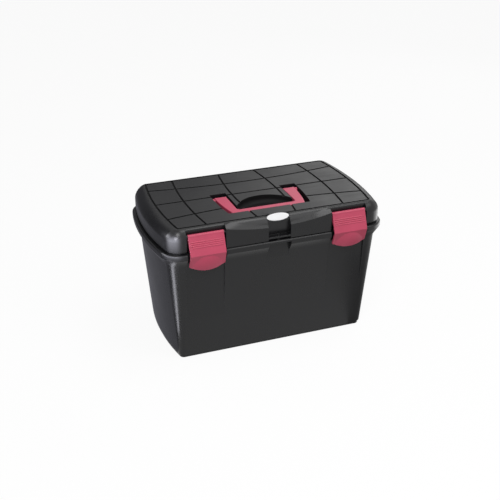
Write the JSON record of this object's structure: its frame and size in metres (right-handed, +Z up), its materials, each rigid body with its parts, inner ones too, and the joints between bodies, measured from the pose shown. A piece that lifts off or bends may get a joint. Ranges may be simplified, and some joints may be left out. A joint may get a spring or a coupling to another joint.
{
  "type": "horse grooming box",
  "caption": "Moulded plastic horse grooming box: tapered tub, hinged tiled lid, snap latches, folding carry handle and lift-out tray.",
  "frame": {"origin": "on the floor plane under the middle of the box's base", "axes": "+X along the box's length to the right, +Y from the front with the latches to the back with the hinges, +Z up"},
  "size_m": [0.4, 0.2437, 0.2426],
  "materials": {
    "body_plastic": "satin black moulded plastic",
    "pink_plastic": "satin raspberry pink moulded plastic",
    "pin_steel": "drawn steel wire",
    "badge_white": "smooth white",
    "tray_plastic": "satin black moulded plastic"
  },
  "bodies": {
    "tub": {"tub": "body_plastic", "hinge_pin_left": "pin_steel", "hinge_pin_right": "pin_steel"},
    "lid": {"lid": "body_plastic", "badge": "badge_white", "latch_pin_left": "pin_steel", "latch_pin_right": "pin_steel", "handle_pin_left": "pin_steel", "handle_pin_right": "pin_steel"},
    "latch_left": {"latch_left": "pink_plastic"},
    "latch_right": {"latch_right": "pink_plastic"},
    "handle": {"handle": "pink_plastic"},
    "tray": {"tray": "tray_plastic"}
  },
  "joints": [
    {"name": "lid_hinge", "type": "hinge", "parent": "tub", "child": "lid", "pos_m": [0, 0.118, 0.204], "axis": [-1, 0, 0], "range_deg": [0, 105]},
    {"name": "latch_left_hinge", "type": "hinge", "parent": "lid", "child": "latch_left", "pos_m": [-0.122, -0.1059, 0.228], "axis": [-1, 0, 0], "range_deg": [0, 100]},
    {"name": "latch_right_hinge", "type": "hinge", "parent": "lid", "child": "latch_right", "pos_m": [0.122, -0.1059, 0.228], "axis": [-1, 0, 0], "range_deg": [0, 100]},
    {"name": "handle_hinge", "type": "hinge", "parent": "lid", "child": "handle", "pos_m": [0, 0, 0.2329], "axis": [-1, 0, 0], "range_deg": [0, 90]},
    {"name": "tray_lift", "type": "slide", "parent": "tub", "child": "tray", "axis": [0, 0, 1], "range_m": [0, 0.02]}
  ]
}
